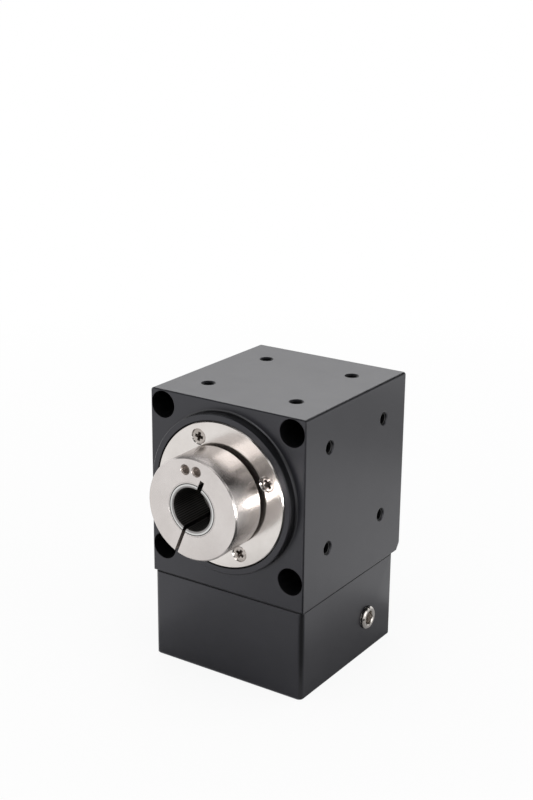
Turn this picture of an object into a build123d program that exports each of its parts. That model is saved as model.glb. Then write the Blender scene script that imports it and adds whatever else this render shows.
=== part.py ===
from build123d import *
import math
import os

os.makedirs("parts", exist_ok=True)

# Right-angle gear reducer with a hollow output shaft, in millimetres.
# The output axis runs along Y and the input axis along Z, and they cross at the origin.
# The output face looks along -Y, the motor face looks along -Z, and +Z is up.

# Bevel gears
gear_module = 1.0
gear_teeth = 42
pinion_teeth = 14
toe_step = 1.76
pressure_angle = 20.0
pinion_addendum = 1.3
gear_addendum = 0.7
tip_clearance = 0.2
tooth_backlash = 0.16
gear_rim = 2.4
flank_points = 6
cutter_margin = 1.0
neck_step = 0.25

# Shafts and clearances
bore_radius = 7.0
nose_wall = 2.0
journal_step = 1.0
seal_shoulder_rise = 2.0
pinion_shoulder_rise = 1.3
bore_chamfer = 0.4
seat_gap = 0.02
running_gap = 0.05
end_gap = 0.2
over_cut = 1.0

# Housing walls and edges
gear_clearance = 1.78
pinion_clearance = 2.57
case_wall = 7.0
long_edge_radius = 1.0
front_edge_chamfer = 0.35
back_chamfer_depth = 2.6
back_chamfer_height = 3.5

# Corner screw holes of the output face
corner_edge_wall = 0.4
corner_hole_radius = 2.75
corner_bore_radius = 4.6
corner_bore_depth = 22.0

# Tapped holes in the top and side faces
face_hole_pitch = 34.5
face_hole_offset = 1.65
face_hole_radius = 2.1
face_hole_mouth = 2.5
face_hole_depth = 10.0

# Output boss and flange plate
boss_wall = 2.1
boss_ledge = 3.0
boss_height = 3.6
boss_fillet = 0.7
boss_chamfer = 0.25
plate_radius = 24.65
plate_gap = 0.25
plate_proud = 0.1
plate_thickness = 3.2
plate_chamfer = 0.4
plate_screw_inset = 4.65
plate_screw_angle = 23.5
flange_inset = 2.1
flange_thickness = 3.5

# Clamp collars
collar_wall = 8.1
output_collar_width = 14.0
input_collar_width = 12.0
collar_gap = 0.6
input_collar_gap = 0.4
collar_chamfer = 0.5
slit_angle = -112.0
slit_width = 1.2
notch_width = 1.6
notch_depth = 2.0
clamp_rise = 3.0
clamp_grip = 5.0
clamp_depth = 10.0
spot_radius = 1.35
spot_rise = 4.05
spot_depth = 2.0
spot_angles = (82.0, 101.0)

# Front crossed roller bearing
front_bearing_section = 8.0
front_bearing_width = 8.0
crossed_roller_rise = 4.0
crossed_roller_radius = 1.8
crossed_roller_count = 20
crossed_lip_gap = 0.35
bearing_lip = 2.5
bearing_lip_rise = 2.0
circlip_thickness = 1.2
circlip_grip = 1.0
circlip_depth = 2.6
circlip_opening = 40.0

# Roller bearings on both shafts
bearing_section = 6.0
bearing_width = 7.0
roller_rise = 3.0
roller_radius = 1.6
roller_length = 4.2
roller_count = 12
pinion_roller_tilt = 12.0
rib_width = 1.0
small_rib_rise = 1.5
large_rib_rise = 2.8
cage_thickness = 1.0
cage_width = 6.0
pocket_gap = 0.15

# Seals and O-rings
front_seal_width = 4.0
rear_seal_width = 4.0
rear_seal_section = 5.0
rear_seal_recess = 0.5
input_seal_width = 2.6
ring_depth = 1.0
ring_width = 1.5

# Ring gear hub, key and shaft nuts
gear_hub_wall = 2.6
gear_hub_length = 10.3
key_width = 4.0
key_height = 3.0
key_sink = 1.4
key_end_wall = 1.2
rear_nut_width = 4.0
input_nut_width = 3.0
nut_wall = 4.0
nut_slot_width = 3.0
nut_slot_depth = 1.2
nut_slot_count = 4
nut_side_gap = 0.6
nut_end_gap = 0.9

# Rear cover
cover_flange_thickness = 5.0
cover_flange_reach = 5.2
cover_lip = 2.5
cover_lip_rise = 2.0
cover_screw_reach = 2.3
cover_start = 0.6

# Pinion shaft and its carrier
pinion_neck = 2.4
pinion_shoulder = 1.4
carrier_wall = 3.0
carrier_overhang = 1.2
carrier_step = 2.0
carrier_step_rise = 1.2
carrier_seam_drop = 1.2
carrier_flange_thickness = 3.0
carrier_bore_relief = 2.0

# Motor adapter
adapter_inset = 0.3
adapter_height = 31.4
adapter_edge_radius = 1.8
adapter_edge_chamfer = 0.3
adapter_cavity_wall = 1.0
adapter_recess_room = 0.5
pilot_radius = 25.0
pilot_depth = 4.0
motor_shaft_length = 30.0
motor_shaft_room = 0.5
motor_screw_pitch = 49.5
motor_screw_depth = 12.0
adapter_screw_x = 17.4
adapter_screw_wall = 5.1
adapter_screw_seat = 10.0

# Screws: thread radius, head radius, head height and socket across flats
m25 = dict(radius=1.25, head=2.25, height=2.5, socket=2.0)
m3 = dict(radius=1.5, head=2.75, height=3.0, socket=2.5)
m4 = dict(radius=2.0, head=3.5, height=4.0, socket=3.0)
screws_round = 4
case_screw_angle = 45.0
cover_screw_length = 8.0
carrier_screw_length = 8.0
adapter_screw_length = 16.0
clamp_screw_length = 14.0
plate_screw_length = 6.3
hole_room = 1.0
head_room = 0.15
plug_radius = 4.0
plug_length = 9.0
plug_proud = 1.4
plug_socket = 4.0
plug_socket_depth = 4.0
plug_chamfer = 0.6

# Radii that follow the bore and the plate
nose_radius = bore_radius + nose_wall
journal_radius = nose_radius + journal_step
seal_shoulder_radius = journal_radius + seal_shoulder_rise
pinion_shoulder_radius = journal_radius + pinion_shoulder_rise
front_bearing_radius = journal_radius + front_bearing_section
crossed_roller_circle = journal_radius + crossed_roller_rise
bearing_radius = journal_radius + bearing_section
roller_circle = journal_radius + roller_rise
rear_seal_radius = journal_radius + rear_seal_section
gear_hub_radius = journal_radius + gear_hub_wall
nut_radius = journal_radius + nut_wall
cover_lip_radius = journal_radius + cover_lip_rise
collar_radius = nose_radius + collar_wall
clamp_offset = nose_radius + clamp_rise
notch_reach = nose_radius + notch_depth
spot_circle = nose_radius + spot_rise
flange_radius = plate_radius - flange_inset
plate_screw_circle = plate_radius - plate_screw_inset
boss_radius = plate_radius + plate_gap + boss_wall

# Cone angles and tooth heights
pressure = math.radians(pressure_angle)
gear_pitch_radius = gear_module * gear_teeth / 2
pinion_pitch_radius = gear_module * pinion_teeth / 2
cone_distance = math.hypot(gear_pitch_radius, pinion_pitch_radius)
gear_angle = math.atan2(gear_pitch_radius, pinion_pitch_radius)
pinion_angle = math.pi / 2 - gear_angle
toe_distance = (gear_hub_radius + toe_step) / math.sin(gear_angle)
gear_dedendum = pinion_addendum + tip_clearance
pinion_dedendum = gear_addendum + tip_clearance
addendum_shift = (pinion_addendum - gear_addendum) / 2
gear_tip_radius = gear_pitch_radius + gear_addendum * math.cos(gear_angle)
pinion_tip_radius = pinion_pitch_radius + pinion_addendum * math.cos(pinion_angle)
pinion_neck_radius = pinion_pitch_radius - pinion_dedendum * math.cos(pinion_angle) - neck_step

# Stations along the output axis, from the gear cavity forwards
cavity_radius = gear_tip_radius + gear_clearance
cavity_front = -pinion_tip_radius - pinion_clearance
front_bearing_back = cavity_front - bearing_lip
front_bearing_front = front_bearing_back - front_bearing_width
circlip_front = front_bearing_front - circlip_thickness
front_seal_back = circlip_front - end_gap / 2
front_seal_front = front_seal_back - front_seal_width
pocket_floor = front_seal_front - end_gap
flange_back = pocket_floor - end_gap
plate_back = flange_back - flange_thickness
plate_front = plate_back - plate_thickness
boss_front = plate_front + plate_proud
front_face = boss_front + boss_height
collar_back = plate_front - collar_gap
collar_front = collar_back - output_collar_width

# Stations along the output axis, from the ring gear backwards
hub_front = toe_distance * math.cos(gear_angle)
hub_back = hub_front + gear_hub_length
rear_bearing_back = hub_back + bearing_width
rear_nut_back = rear_bearing_back + rear_nut_width
cover_lip_front = rear_nut_back + nut_end_gap
rear_seal_front = cover_lip_front + cover_lip
rear_seal_back = rear_seal_front + rear_seal_width
back_face = rear_seal_back + rear_seal_recess
cover_front = hub_back + cover_start
cover_seat = back_face - cover_flange_thickness
cover_screw_circle = cavity_radius + cover_screw_reach
cover_flange_radius = cavity_radius + cover_flange_reach

# Stations along the input axis, from the pinion downwards
upper_bearing_top = -gear_pitch_radius - pinion_neck - pinion_shoulder
upper_bearing_bottom = upper_bearing_top - bearing_width
lower_bearing_top = upper_bearing_bottom - carrier_step
lower_bearing_bottom = lower_bearing_top - bearing_width
input_nut_bottom = lower_bearing_bottom - input_nut_width
input_seal_top = input_nut_bottom - end_gap
input_seal_bottom = input_seal_top - input_seal_width
carrier_bottom = input_seal_bottom - end_gap
input_collar_top = carrier_bottom - input_collar_gap
input_collar_bottom = input_collar_top - input_collar_width
input_collar_middle = (input_collar_top + input_collar_bottom) / 2
carrier_top = upper_bearing_top + carrier_overhang
carrier_radius = bearing_radius + carrier_wall
carrier_screw_circle = carrier_radius + m3["head"] + end_gap / 2
carrier_flange_radius = carrier_screw_circle + m3["head"]
carrier_bore_top = carrier_bore_relief - cavity_radius
seam = lower_bearing_top - carrier_seam_drop
carrier_flange_bottom = seam - carrier_flange_thickness
adapter_bottom = seam - adapter_height
adapter_recess_floor = carrier_flange_bottom - m3["height"] - adapter_recess_room
adapter_cavity_radius = carrier_radius + adapter_cavity_wall
pilot_floor = adapter_bottom + pilot_depth
adapter_head_seat = seam - adapter_screw_seat
input_bore_top = adapter_bottom + motor_shaft_length + motor_shaft_room
ring_groove_middle = (upper_bearing_bottom + lower_bearing_top) / 2

# Outer faces of the housing
half_width = max(cavity_radius + case_wall, boss_radius + boss_ledge)
corner_place = half_width - corner_edge_wall - corner_bore_radius
adapter_half = half_width - adapter_inset
adapter_screw_y = adapter_half - adapter_screw_wall

# Frames that turn a piece made about its own Z axis onto the output or the input axis
on_output = Plane(origin=(0, 0, 0), x_dir=(1, 0, 0), z_dir=(0, 1, 0))


def on_output_at(station, forwards=False):
    return Plane(origin=(0, station, 0), x_dir=(1, 0, 0), z_dir=(0, -1 if forwards else 1, 0))


def on_input_at(station, downwards=False):
    return Plane(origin=(0, 0, station), x_dir=(0, 1, 0), z_dir=(0, 0, -1 if downwards else 1))


def turned(*points):
    # A closed outline of (radius, height) points turned about the Z axis.
    outline = Plane.XZ * make_face(Polyline(*points, close=True))
    return revolve(outline, Axis.Z, 360)


def ring(inner, outer, low, high):
    return turned((inner, low), (outer, low), (outer, high), (inner, high))


def drilled(radius, start, end):
    # A round hole or rod from one point to another.
    start, end = Vector(*start), Vector(*end)
    placed = Plane(origin=start, z_dir=end - start)
    return placed * Cylinder(radius, (end - start).length, align=(Align.CENTER, Align.CENTER, Align.MIN))


def block(x_range, y_range, z_range):
    middle = [(low + high) / 2 for low, high in (x_range, y_range, z_range)]
    sides = [high - low for low, high in (x_range, y_range, z_range)]
    return Pos(*middle) * Box(*sides)


def tapped(mouth, inward, radius, rim, depth):
    # A tapping hole with a countersunk mouth.
    placed = Plane(origin=Vector(*mouth), z_dir=Vector(*inward))
    low = (Align.CENTER, Align.CENTER, Align.MIN)
    hole = placed * Cylinder(radius, depth, align=low)
    if rim > radius:
        hole += placed * Cone(rim, radius, rim - radius, align=low)
    return hole


def corners(x_reach, y_reach):
    return [(x * x_reach, y * y_reach) for x in (-1, 1) for y in (-1, 1)]


def round_the_circle(radius, count, first):
    angles = [math.radians(first + 360 * k / count) for k in range(count)]
    return [(radius * math.cos(a), radius * math.sin(a)) for a in angles]


def cap_screw(size, length):
    # Head seat at zero, shank down the Z axis, hexagon socket in the head.
    shank = drilled(size["radius"], (0, 0, -length), (0, 0, 0))
    head = drilled(size["head"], (0, 0, 0), (0, 0, size["height"]))
    socket = extrude(RegularPolygon(size["socket"] / 2, 6, major_radius=False), size["height"] / 2)
    return shank + head - Pos(0, 0, size["height"] / 2) * socket


def flat_screw(size, length):
    # Countersunk screw with its flat head at zero and its shank down the Z axis.
    cone = size["head"] - size["radius"]
    return turned(
        (0, 0), (size["head"], 0), (size["radius"], -cone), (size["radius"], -length), (0, -length)
    )


# Bevel gear teeth


def involute_turn(base_angle, polar):
    # Azimuth of a spherical involute where it has opened to a polar angle.
    if polar <= base_angle:
        return 0.0
    rolled = math.acos(math.cos(polar) / math.cos(base_angle))
    opened = math.atan2(math.sin(rolled), math.sin(base_angle) * math.cos(rolled))
    return rolled / math.sin(base_angle) - opened


def tooth_space(pitch_angle, teeth, addendum, dedendum, thickness):
    # One gap between two teeth, a cone of straight lines through the apex.
    base_angle = math.asin(math.sin(pitch_angle) * math.cos(pressure))
    pitch_radius = gear_module * teeth / 2
    space = math.pi / teeth - thickness / (2 * pitch_radius)
    low = pitch_angle - math.atan(dedendum / cone_distance)
    high = pitch_angle + math.atan((addendum + cutter_margin / 2) / cone_distance)
    along = Vector(math.sin(pitch_angle), 0, math.cos(pitch_angle))
    flank = []
    for step in range(flank_points):
        polar = low + (high - low) * step / (flank_points - 1)
        turn = space + involute_turn(base_angle, polar) - involute_turn(base_angle, pitch_angle)
        ray = Vector(math.sin(polar) * math.cos(turn), math.sin(polar) * math.sin(turn), math.cos(polar))
        flank.append(ray * (1 / ray.dot(along)))
    outlines = []
    for distance in (toe_distance - cutter_margin, cone_distance + cutter_margin):
        right = [point * distance for point in flank]
        left = [Vector(point.X, -point.Y, point.Z) for point in right]
        edges = [
            Edge.make_spline(right),
            Edge.make_line(right[-1], left[-1]),
            Edge.make_spline(left[::-1]),
            Edge.make_line(left[0], right[0]),
        ]
        outlines.append(Wire(edges))
    return Solid.make_loft(outlines, ruled=True)


def cut_teeth(blank, teeth, first, space):
    return blank - [Rot(0, 0, first + 360 * k / teeth) * space for k in range(teeth)]


def tooth_corner(pitch_angle, rise, distance):
    # (radius, height) of a point that rises square to the pitch cone at a cone distance.
    radius = distance * math.sin(pitch_angle) + rise * math.cos(pitch_angle)
    return radius, distance * math.cos(pitch_angle) - rise * math.sin(pitch_angle)


def circular_thickness(shift):
    # Tooth thickness on the pitch circle, thinned by its share of the backlash.
    return math.pi * gear_module / 2 + 2 * shift * math.tan(pressure) - tooth_backlash / 2


# Ring gear and output shaft


def keyway(inner, outer, low, high):
    return block((-key_width / 2, key_width / 2), (low, high), (inner, outer))


def make_ring_gear():
    toe_share = toe_distance / cone_distance
    heel_tip = tooth_corner(gear_angle, gear_addendum, cone_distance)
    toe_tip = (heel_tip[0] * toe_share, heel_tip[1] * toe_share)
    toe_foot = tooth_corner(gear_angle, -gear_dedendum - gear_rim / 2, toe_distance)
    heel_foot = tooth_corner(gear_angle, -gear_dedendum - gear_rim, cone_distance)
    blank = turned(
        (journal_radius + seat_gap, hub_front),
        (gear_hub_radius, hub_front),
        (gear_hub_radius, toe_foot[1]),
        toe_foot,
        toe_tip,
        heel_tip,
        heel_foot,
        (gear_hub_radius, heel_foot[1]),
        (gear_hub_radius, hub_back),
        (journal_radius + seat_gap, hub_back),
    )
    space = tooth_space(
        gear_angle, gear_teeth, gear_addendum, gear_dedendum, circular_thickness(-addendum_shift)
    )
    toothed = on_output * cut_teeth(blank, gear_teeth, 90, space)
    top = journal_radius - key_sink + key_height + seat_gap
    return toothed - keyway(0, top, hub_front - over_cut, hub_back + over_cut)


def make_gear_key():
    low = journal_radius - key_sink
    return keyway(low + seat_gap, low + key_height, hub_front + key_end_wall, hub_back - key_end_wall)


def saw_cut(depth, reach, notch):
    # The slit and the narrow notch opposite it, looking along +X of the collar.
    slit = block((0, reach), (-slit_width / 2, slit_width / 2), (0, depth))
    return slit + block((-notch, 0), (-notch_width / 2, notch_width / 2), (0, depth))


def make_hollow_shaft():
    shaft = on_output * turned(
        (bore_radius, collar_front + bore_chamfer),
        (bore_radius + bore_chamfer, collar_front),
        (nose_radius, collar_front),
        (nose_radius, plate_back),
        (flange_radius, plate_back),
        (flange_radius, flange_back),
        (seal_shoulder_radius, flange_back),
        (seal_shoulder_radius, front_bearing_front),
        (journal_radius, front_bearing_front),
        (journal_radius, rear_seal_back),
        (bore_radius, rear_seal_back),
    )
    reach = nose_radius + over_cut
    cut = saw_cut(output_collar_width, reach, reach)
    shaft -= on_output_at(collar_front + output_collar_width, True) * (Rot(0, 0, slit_angle) * cut)
    low = journal_radius - key_sink
    shaft -= keyway(low, journal_radius + over_cut, hub_front + key_end_wall, hub_back - key_end_wall)
    for x, z in round_the_circle(plate_screw_circle, screws_round, plate_screw_angle):
        shaft -= drilled(m3["radius"], (x, plate_back, z), (x, flange_back, z))
    return shaft


def make_flange_plate():
    plate = on_output * turned(
        (nose_radius + seat_gap, plate_front),
        (plate_radius - plate_chamfer, plate_front),
        (plate_radius, plate_front + plate_chamfer),
        (plate_radius, plate_back),
        (nose_radius + seat_gap, plate_back),
    )
    rise = m3["head"] - m3["radius"]
    for x, z in round_the_circle(plate_screw_circle, screws_round, plate_screw_angle):
        hole = Cylinder(m3["radius"], plate_thickness, align=(Align.CENTER, Align.CENTER, Align.MIN))
        hole += Cone(m3["head"], m3["radius"], rise, align=(Align.CENTER, Align.CENTER, Align.MIN))
        plate -= Plane(origin=(x, plate_front, z), z_dir=(0, 1, 0)) * hole
    return plate


def make_plate_screws():
    screw = flat_screw(m3, plate_screw_length)
    places = round_the_circle(plate_screw_circle, screws_round, plate_screw_angle)
    return [Plane(origin=(x, plate_front, z), z_dir=(0, -1, 0)) * screw for x, z in places]


# Clamp collars


def clamp_hole():
    # Pocket, shank hole and tapped hole of the clamp screw, its head on the -Y side.
    pocket = drilled(m4["head"] + head_room, (0, -clamp_grip, 0), (0, -collar_radius, 0))
    return pocket + drilled(m4["radius"] + seat_gap, (0, -clamp_grip, 0), (0, clamp_depth, 0))


def make_collar(width):
    # Collar about its own Z axis, with its slit along +X.
    collar = turned(
        (nose_radius + seat_gap, 0),
        (collar_radius - collar_chamfer, 0),
        (collar_radius, collar_chamfer),
        (collar_radius, width - collar_chamfer),
        (collar_radius - collar_chamfer, width),
        (nose_radius + seat_gap, width),
    )
    collar -= saw_cut(width, collar_radius + over_cut, notch_reach)
    return collar - Pos(clamp_offset, 0, width / 2) * clamp_hole()


def make_clamp_screw(width):
    screw = Plane(origin=(0, -clamp_grip, 0), z_dir=(0, -1, 0)) * cap_screw(m4, clamp_screw_length)
    return Pos(clamp_offset, 0, width / 2) * screw


def on_nose(piece):
    return on_output_at(collar_back, True) * (Rot(0, 0, slit_angle) * piece)


def make_output_collar():
    collar = on_nose(make_collar(output_collar_width))
    for angle in spot_angles:
        x = spot_circle * math.cos(math.radians(angle))
        z = spot_circle * math.sin(math.radians(angle))
        collar -= drilled(spot_radius, (x, collar_front, z), (x, collar_front + spot_depth, z))
    return collar


# Crossed roller bearing behind the output flange


def crossed_groove():
    return math.sqrt(2) * (crossed_roller_radius + running_gap / 2)


def make_crossed_outer():
    groove = crossed_groove()
    lip = crossed_roller_circle + crossed_lip_gap
    middle = front_bearing_width / 2
    return on_output_at(front_bearing_front) * turned(
        (lip, 0),
        (front_bearing_radius, 0),
        (front_bearing_radius, front_bearing_width),
        (lip, front_bearing_width),
        (lip, middle + groove - crossed_lip_gap),
        (crossed_roller_circle + groove, middle),
        (lip, middle - groove + crossed_lip_gap),
    )


def make_crossed_inner():
    groove = crossed_groove()
    lip = crossed_roller_circle - crossed_lip_gap
    middle = front_bearing_width / 2
    return on_output_at(front_bearing_front) * turned(
        (journal_radius + seat_gap, 0),
        (lip, 0),
        (lip, middle - groove + crossed_lip_gap),
        (crossed_roller_circle - groove, middle),
        (lip, middle + groove - crossed_lip_gap),
        (lip, front_bearing_width),
        (journal_radius + seat_gap, front_bearing_width),
    )


def make_crossed_rollers():
    # Each roller leans the other way from its neighbours.
    length = 2 * crossed_roller_radius - end_gap
    rollers = []
    for k in range(crossed_roller_count):
        lean = 45 if k % 2 else -45
        turn = Rot(0, 0, 360 * k / crossed_roller_count)
        roller = turn * Pos(crossed_roller_circle, 0, 0) * Rot(0, lean, 0)
        rollers.append(roller * Cylinder(crossed_roller_radius, length))
    middle = on_output_at(front_bearing_front + front_bearing_width / 2)
    return [middle * roller for roller in rollers]


def make_circlip():
    # Internal retaining ring, open at the top.
    outer = front_bearing_radius + circlip_grip - running_gap
    clip = ring(outer - circlip_depth, outer, 0, circlip_thickness)
    reach = outer + over_cut
    half = math.radians(circlip_opening / 2)
    wedge = extrude(
        make_face(
            Polyline(
                (0, 0), (-reach * math.sin(half), -reach), (reach * math.sin(half), -reach), close=True
            )
        ),
        circlip_thickness,
    )
    return on_output_at(circlip_front) * (clip - wedge)


# Roller bearings, made about their own Z axis with the wide end of a tilted race up


def race_radius(tilt, outside, height):
    lean = math.radians(tilt)
    spread = roller_radius * math.sin(lean) / roller_circle
    side = 1 if outside else -1
    travel = height + side * roller_radius * math.sin(lean)
    travel /= math.cos(lean) - side * spread * math.sin(lean)
    return roller_circle + travel * math.sin(lean) + side * (roller_radius + travel * spread) * math.cos(lean)


def make_outer_race(tilt):
    half = bearing_width / 2
    return turned(
        (race_radius(tilt, True, -half) + running_gap, -half),
        (bearing_radius, -half),
        (bearing_radius, half),
        (race_radius(tilt, True, half) + running_gap, half),
    )


def make_inner_race(tilt):
    half = bearing_width / 2
    track = half - rib_width
    small = journal_radius + small_rib_rise
    large = journal_radius + large_rib_rise
    if tilt == 0:
        small = large = (small + large) / 2
    return turned(
        (journal_radius + seat_gap, -half),
        (small, -half),
        (small, -track),
        (race_radius(tilt, False, -track) - running_gap, -track),
        (race_radius(tilt, False, track) - running_gap, track),
        (large, track),
        (large, half),
        (journal_radius + seat_gap, half),
    )


def roller_places(tilt):
    turns = [Rot(0, 0, 360 * k / roller_count) for k in range(roller_count)]
    return [turn * Pos(roller_circle, 0, 0) * Rot(0, tilt, 0) for turn in turns]


def make_rollers(tilt):
    taper = roller_length / 2 * roller_radius * math.sin(math.radians(tilt)) / roller_circle
    if tilt == 0:
        roller = Cylinder(roller_radius, roller_length)
    else:
        roller = Cone(roller_radius - taper, roller_radius + taper, roller_length)
    return [place * roller for place in roller_places(tilt)]


def make_cage(tilt):
    lean = math.tan(math.radians(tilt)) * cage_width / 2
    half = cage_thickness / 2
    cage = turned(
        (roller_circle - lean - half, -cage_width / 2),
        (roller_circle - lean + half, -cage_width / 2),
        (roller_circle + lean + half, cage_width / 2),
        (roller_circle + lean - half, cage_width / 2),
    )
    across = 2 * (roller_radius + pocket_gap)
    pocket = Box(4 * cage_thickness, across, roller_length + 2 * pocket_gap)
    return cage - [place * pocket for place in roller_places(tilt)]


def make_locknut(width):
    # Slotted round nut with a plain turned bore.
    nut = ring(journal_radius + seat_gap, nut_radius, 0, width)
    slot_reach = (nut_radius - nut_slot_depth, nut_radius + over_cut)
    slot = block(slot_reach, (-nut_slot_width / 2, nut_slot_width / 2), (0, width))
    return nut - [Rot(0, 0, 360 * k / nut_slot_count) * slot for k in range(nut_slot_count)]


# Pinion shaft and what it carries


def make_pinion_shaft():
    toe_share = toe_distance / cone_distance
    heel_tip = tooth_corner(pinion_angle, pinion_addendum, cone_distance)
    toe_tip = (heel_tip[0] * toe_share, heel_tip[1] * toe_share)
    toe_root = tooth_corner(pinion_angle, -pinion_dedendum, toe_distance)
    heel_root = tooth_corner(pinion_angle, -pinion_dedendum, cone_distance)
    blank = turned(
        (0, toe_root[1]),
        toe_root,
        toe_tip,
        heel_tip,
        heel_root,
        (pinion_neck_radius, heel_root[1]),
        (pinion_neck_radius, -upper_bearing_top - pinion_shoulder),
        (pinion_shoulder_radius, -upper_bearing_top - pinion_shoulder),
        (pinion_shoulder_radius, -upper_bearing_top),
        (journal_radius, -upper_bearing_top),
        (journal_radius, -input_nut_bottom),
        (nose_radius, -input_nut_bottom),
        (nose_radius, -input_collar_bottom),
        (bore_radius + bore_chamfer, -input_collar_bottom),
        (bore_radius, -input_collar_bottom - bore_chamfer),
        (bore_radius, -input_bore_top),
        (0, -input_bore_top),
    )
    space = tooth_space(
        pinion_angle, pinion_teeth, pinion_addendum, pinion_dedendum, circular_thickness(addendum_shift)
    )
    toothed = cut_teeth(blank, pinion_teeth, -90 + 180 / pinion_teeth, space)
    shaft = Rot(180, 0, 0) * toothed
    reach = nose_radius + over_cut
    cut = saw_cut(input_collar_width, reach, reach)
    return shaft - on_input_at(input_collar_bottom) * cut


def make_pinion_carrier():
    groove_top = ring_groove_middle + ring_width / 2
    groove_bottom = ring_groove_middle - ring_width / 2
    carrier = turned(
        (bearing_radius + seat_gap, carrier_top),
        (carrier_radius, carrier_top),
        (carrier_radius, groove_top),
        (carrier_radius - ring_depth, groove_top),
        (carrier_radius - ring_depth, groove_bottom),
        (carrier_radius, groove_bottom),
        (carrier_radius, seam),
        (carrier_flange_radius, seam),
        (carrier_flange_radius, carrier_flange_bottom),
        (carrier_radius, carrier_flange_bottom),
        (carrier_radius, carrier_bottom),
        (bearing_radius + seat_gap, carrier_bottom),
        (bearing_radius + seat_gap, lower_bearing_top),
        (bearing_radius - carrier_step_rise, lower_bearing_top),
        (bearing_radius - carrier_step_rise, upper_bearing_bottom),
        (bearing_radius + seat_gap, upper_bearing_bottom),
    )
    for x, y in round_the_circle(carrier_screw_circle, screws_round, case_screw_angle):
        carrier -= drilled(m3["radius"] + head_room, (x, y, seam), (x, y, carrier_flange_bottom))
    return carrier


# Fixed cases


def make_housing():
    shell = block((-half_width, half_width), (front_face, back_face), (seam, half_width))
    rounded = shell.edges().filter_by(Axis.Y).group_by(Axis.Z)[-1]
    rounded += shell.edges().filter_by(Axis.Z).group_by(Axis.Y)[-1]
    rounded += shell.edges().filter_by(Axis.X).group_by(Axis.Z)[-1].sort_by(Axis.Y)[-1:]
    shell = fillet(rounded, long_edge_radius)
    shell = chamfer(shell.faces().sort_by(Axis.Y)[0].edges(), front_edge_chamfer)
    step = Plane.YZ * make_face(
        Polyline(
            (back_face - back_chamfer_depth, seam),
            (back_face + over_cut, seam),
            (back_face + over_cut, seam + back_chamfer_height),
            (back_face, seam + back_chamfer_height),
            close=True,
        )
    )
    shell -= extrude(step, half_width + over_cut, both=True)
    shell += on_output * turned(
        (0, front_face + over_cut),
        (boss_radius, front_face + over_cut),
        (boss_radius, boss_front + boss_chamfer),
        (boss_radius - boss_chamfer, boss_front),
        (0, boss_front),
    )
    base = [
        edge
        for edge in shell.edges().filter_by(GeomType.CIRCLE)
        if abs(edge.center().Y - front_face) < 0.01 and abs(edge.radius - boss_radius) < 0.01
    ]
    shell = fillet(base, boss_fillet)
    outer = front_bearing_radius + seat_gap
    shell -= on_output * turned(
        (0, boss_front - over_cut),
        (plate_radius + plate_gap, boss_front - over_cut),
        (plate_radius + plate_gap, pocket_floor),
        (outer, pocket_floor),
        (outer, circlip_front - running_gap),
        (front_bearing_radius + circlip_grip, circlip_front - running_gap),
        (front_bearing_radius + circlip_grip, front_bearing_front),
        (outer, front_bearing_front),
        (outer, front_bearing_back),
        (front_bearing_radius - bearing_lip_rise, front_bearing_back),
        (front_bearing_radius - bearing_lip_rise, cavity_front),
        (cavity_radius, cavity_front),
        (cavity_radius, cover_seat),
        (cover_flange_radius + plate_gap / 2, cover_seat),
        (cover_flange_radius + plate_gap / 2, back_face + over_cut),
        (0, back_face + over_cut),
    )
    shell -= drilled(carrier_radius + seat_gap, (0, 0, seam - over_cut), (0, 0, carrier_bore_top))
    holes = []
    for x, z in corners(corner_place, corner_place):
        mouth = (x, front_face - over_cut, z)
        holes.append(drilled(corner_hole_radius, mouth, (x, back_face + over_cut, z)))
        holes.append(drilled(corner_bore_radius, mouth, (x, front_face + corner_bore_depth, z)))
    reach = face_hole_pitch / 2
    for a, b in corners(reach, reach):
        along = face_hole_offset + b
        for mouth, inward in (
            ((a, along, half_width), (0, 0, -1)),
            ((half_width, along, a), (-1, 0, 0)),
            ((-half_width, along, a), (1, 0, 0)),
        ):
            holes.append(tapped(mouth, inward, face_hole_radius, face_hole_mouth, face_hole_depth))
    depth = adapter_screw_length - adapter_screw_seat + hole_room
    for x, y in corners(adapter_screw_x, adapter_screw_y):
        holes.append(tapped((x, y, seam), (0, 0, 1), m4["radius"], 0, depth))
    depth = carrier_screw_length - carrier_flange_thickness + hole_room
    for x, y in round_the_circle(carrier_screw_circle, screws_round, case_screw_angle):
        holes.append(tapped((x, y, seam), (0, 0, 1), m3["radius"], 0, depth))
    depth = cover_screw_length - cover_flange_thickness + m25["height"] + head_room + hole_room
    for x, z in round_the_circle(cover_screw_circle, screws_round, case_screw_angle):
        holes.append(tapped((x, cover_seat, z), (0, -1, 0), m25["radius"], 0, depth))
    return shell - holes


def make_rear_cover():
    seat = bearing_radius + seat_gap
    spigot = cavity_radius - seat_gap
    groove_back = cover_seat - ring_width
    cover = on_output * turned(
        (seat, cover_front),
        (spigot, cover_front),
        (spigot, groove_back - ring_width),
        (spigot - ring_depth, groove_back - ring_width),
        (spigot - ring_depth, groove_back),
        (spigot, groove_back),
        (spigot, cover_seat),
        (cover_flange_radius, cover_seat),
        (cover_flange_radius, back_face),
        (rear_seal_radius + seat_gap, back_face),
        (rear_seal_radius + seat_gap, rear_seal_front),
        (cover_lip_radius, rear_seal_front),
        (cover_lip_radius, cover_lip_front),
        (nut_radius + nut_side_gap, cover_lip_front),
        (nut_radius + nut_side_gap, rear_bearing_back),
        (seat, rear_bearing_back),
    )
    head_seat = back_face - m25["height"] - head_room
    for x, z in round_the_circle(cover_screw_circle, screws_round, case_screw_angle):
        cover -= drilled(m25["radius"] + seat_gap, (x, cover_seat, z), (x, back_face, z))
        cover -= drilled(m25["head"] + head_room, (x, head_seat, z), (x, back_face, z))
    return cover


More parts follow.
